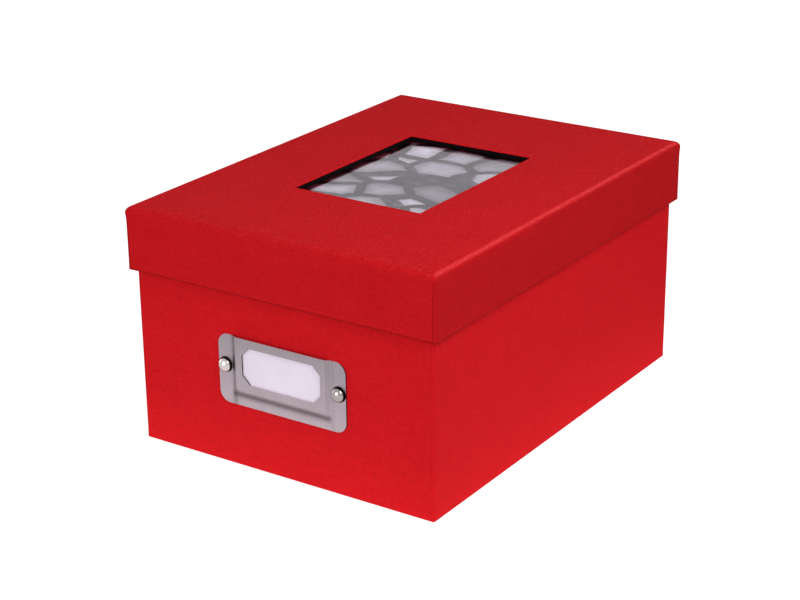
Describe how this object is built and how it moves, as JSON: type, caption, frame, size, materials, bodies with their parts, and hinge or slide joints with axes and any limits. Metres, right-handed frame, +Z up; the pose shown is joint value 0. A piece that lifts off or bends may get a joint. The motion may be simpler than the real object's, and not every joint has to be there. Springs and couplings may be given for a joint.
{
  "type": "photo storage box",
  "caption": "Cloth-covered storage box for standing photographs, with a lift-off lid that has a picture window and a metal label holder on the short end.",
  "frame": {"origin": "middle of the footprint, on the surface that the box stands on", "axes": "+Z up, +Y along the length, away from the label end, +X to the right when facing the label end"},
  "size_m": [0.1666, 0.2239, 0.115],
  "materials": {
    "red_bookcloth": "plain-woven red bookcloth, matt",
    "greyboard": "grey-brown binder's board",
    "kraft_tape": "brown kraft tape",
    "lining_paper": "cream lining paper",
    "bottom_paper": "black paper",
    "holder_steel": "satin plated steel",
    "brad_nickel": "polished nickel plate",
    "label_stock": "smooth white card",
    "photo_print": "semi-gloss grey-tone print",
    "clear_film": "clear glossy film",
    "edge_tape": "matt black paper tape",
    "pocket_card": "thin black card",
    "divider_card": "cream index card"
  },
  "bodies": {
    "base": {"base_floor_board": "greyboard", "base_front_board": "greyboard", "base_back_board": "greyboard", "base_left_board": "greyboard", "base_right_board": "greyboard", "base_corner_stay_front_left": "kraft_tape", "base_corner_stay_front_right": "kraft_tape", "base_corner_stay_back_left": "kraft_tape", "base_corner_stay_back_right": "kraft_tape", "base_wall_cloth": "red_bookcloth", "base_bottom_sheet": "bottom_paper", "base_wall_lining": "lining_paper", "base_floor_lining": "lining_paper", "label_holder": "holder_steel", "brad_left": "brad_nickel", "brad_right": "brad_nickel"},
    "label_card": {"label_card": "label_stock"},
    "lid": {"lid_top_board": "greyboard", "lid_front_board": "greyboard", "lid_back_board": "greyboard", "lid_left_board": "greyboard", "lid_right_board": "greyboard", "lid_corner_stay_front_left": "kraft_tape", "lid_corner_stay_front_right": "kraft_tape", "lid_corner_stay_back_left": "kraft_tape", "lid_corner_stay_back_right": "kraft_tape", "lid_cloth": "red_bookcloth", "lid_lining": "lining_paper", "window_edge_tape": "edge_tape", "window_pane": "clear_film", "pocket_spacer": "pocket_card", "pocket_backing": "pocket_card"},
    "photo_insert": {"photo_insert": "photo_print"},
    "index_divider_1": {"index_divider_1": "divider_card"},
    "index_divider_2": {"index_divider_2": "divider_card"},
    "index_divider_3": {"index_divider_3": "divider_card"},
    "index_divider_4": {"index_divider_4": "divider_card"},
    "index_divider_5": {"index_divider_5": "divider_card"}
  },
  "joints": [
    {"name": "lid_lift", "type": "slide", "parent": "base", "child": "lid", "axis": [0, 0, 1], "range_m": [0, 0.15]},
    {"name": "label_card_slide", "type": "slide", "parent": "base", "child": "label_card", "axis": [0, 0, 1], "range_m": [0, 0.0213]},
    {"name": "photo_insert_slide", "type": "slide", "parent": "lid", "child": "photo_insert", "axis": [0, 1, 0], "range_m": [0, 0.0415]},
    {"name": "index_divider_1_slide", "type": "slide", "parent": "base", "child": "index_divider_1", "axis": [0, 1, 0], "range_m": [-0.016, 0.016]},
    {"name": "index_divider_2_slide", "type": "slide", "parent": "base", "child": "index_divider_2", "axis": [0, 1, 0], "range_m": [-0.016, 0.016]},
    {"name": "index_divider_3_slide", "type": "slide", "parent": "base", "child": "index_divider_3", "axis": [0, 1, 0], "range_m": [-0.016, 0.016]},
    {"name": "index_divider_4_slide", "type": "slide", "parent": "base", "child": "index_divider_4", "axis": [0, 1, 0], "range_m": [-0.016, 0.016]},
    {"name": "index_divider_5_slide", "type": "slide", "parent": "base", "child": "index_divider_5", "axis": [0, 1, 0], "range_m": [-0.016, 0.016]}
  ]
}
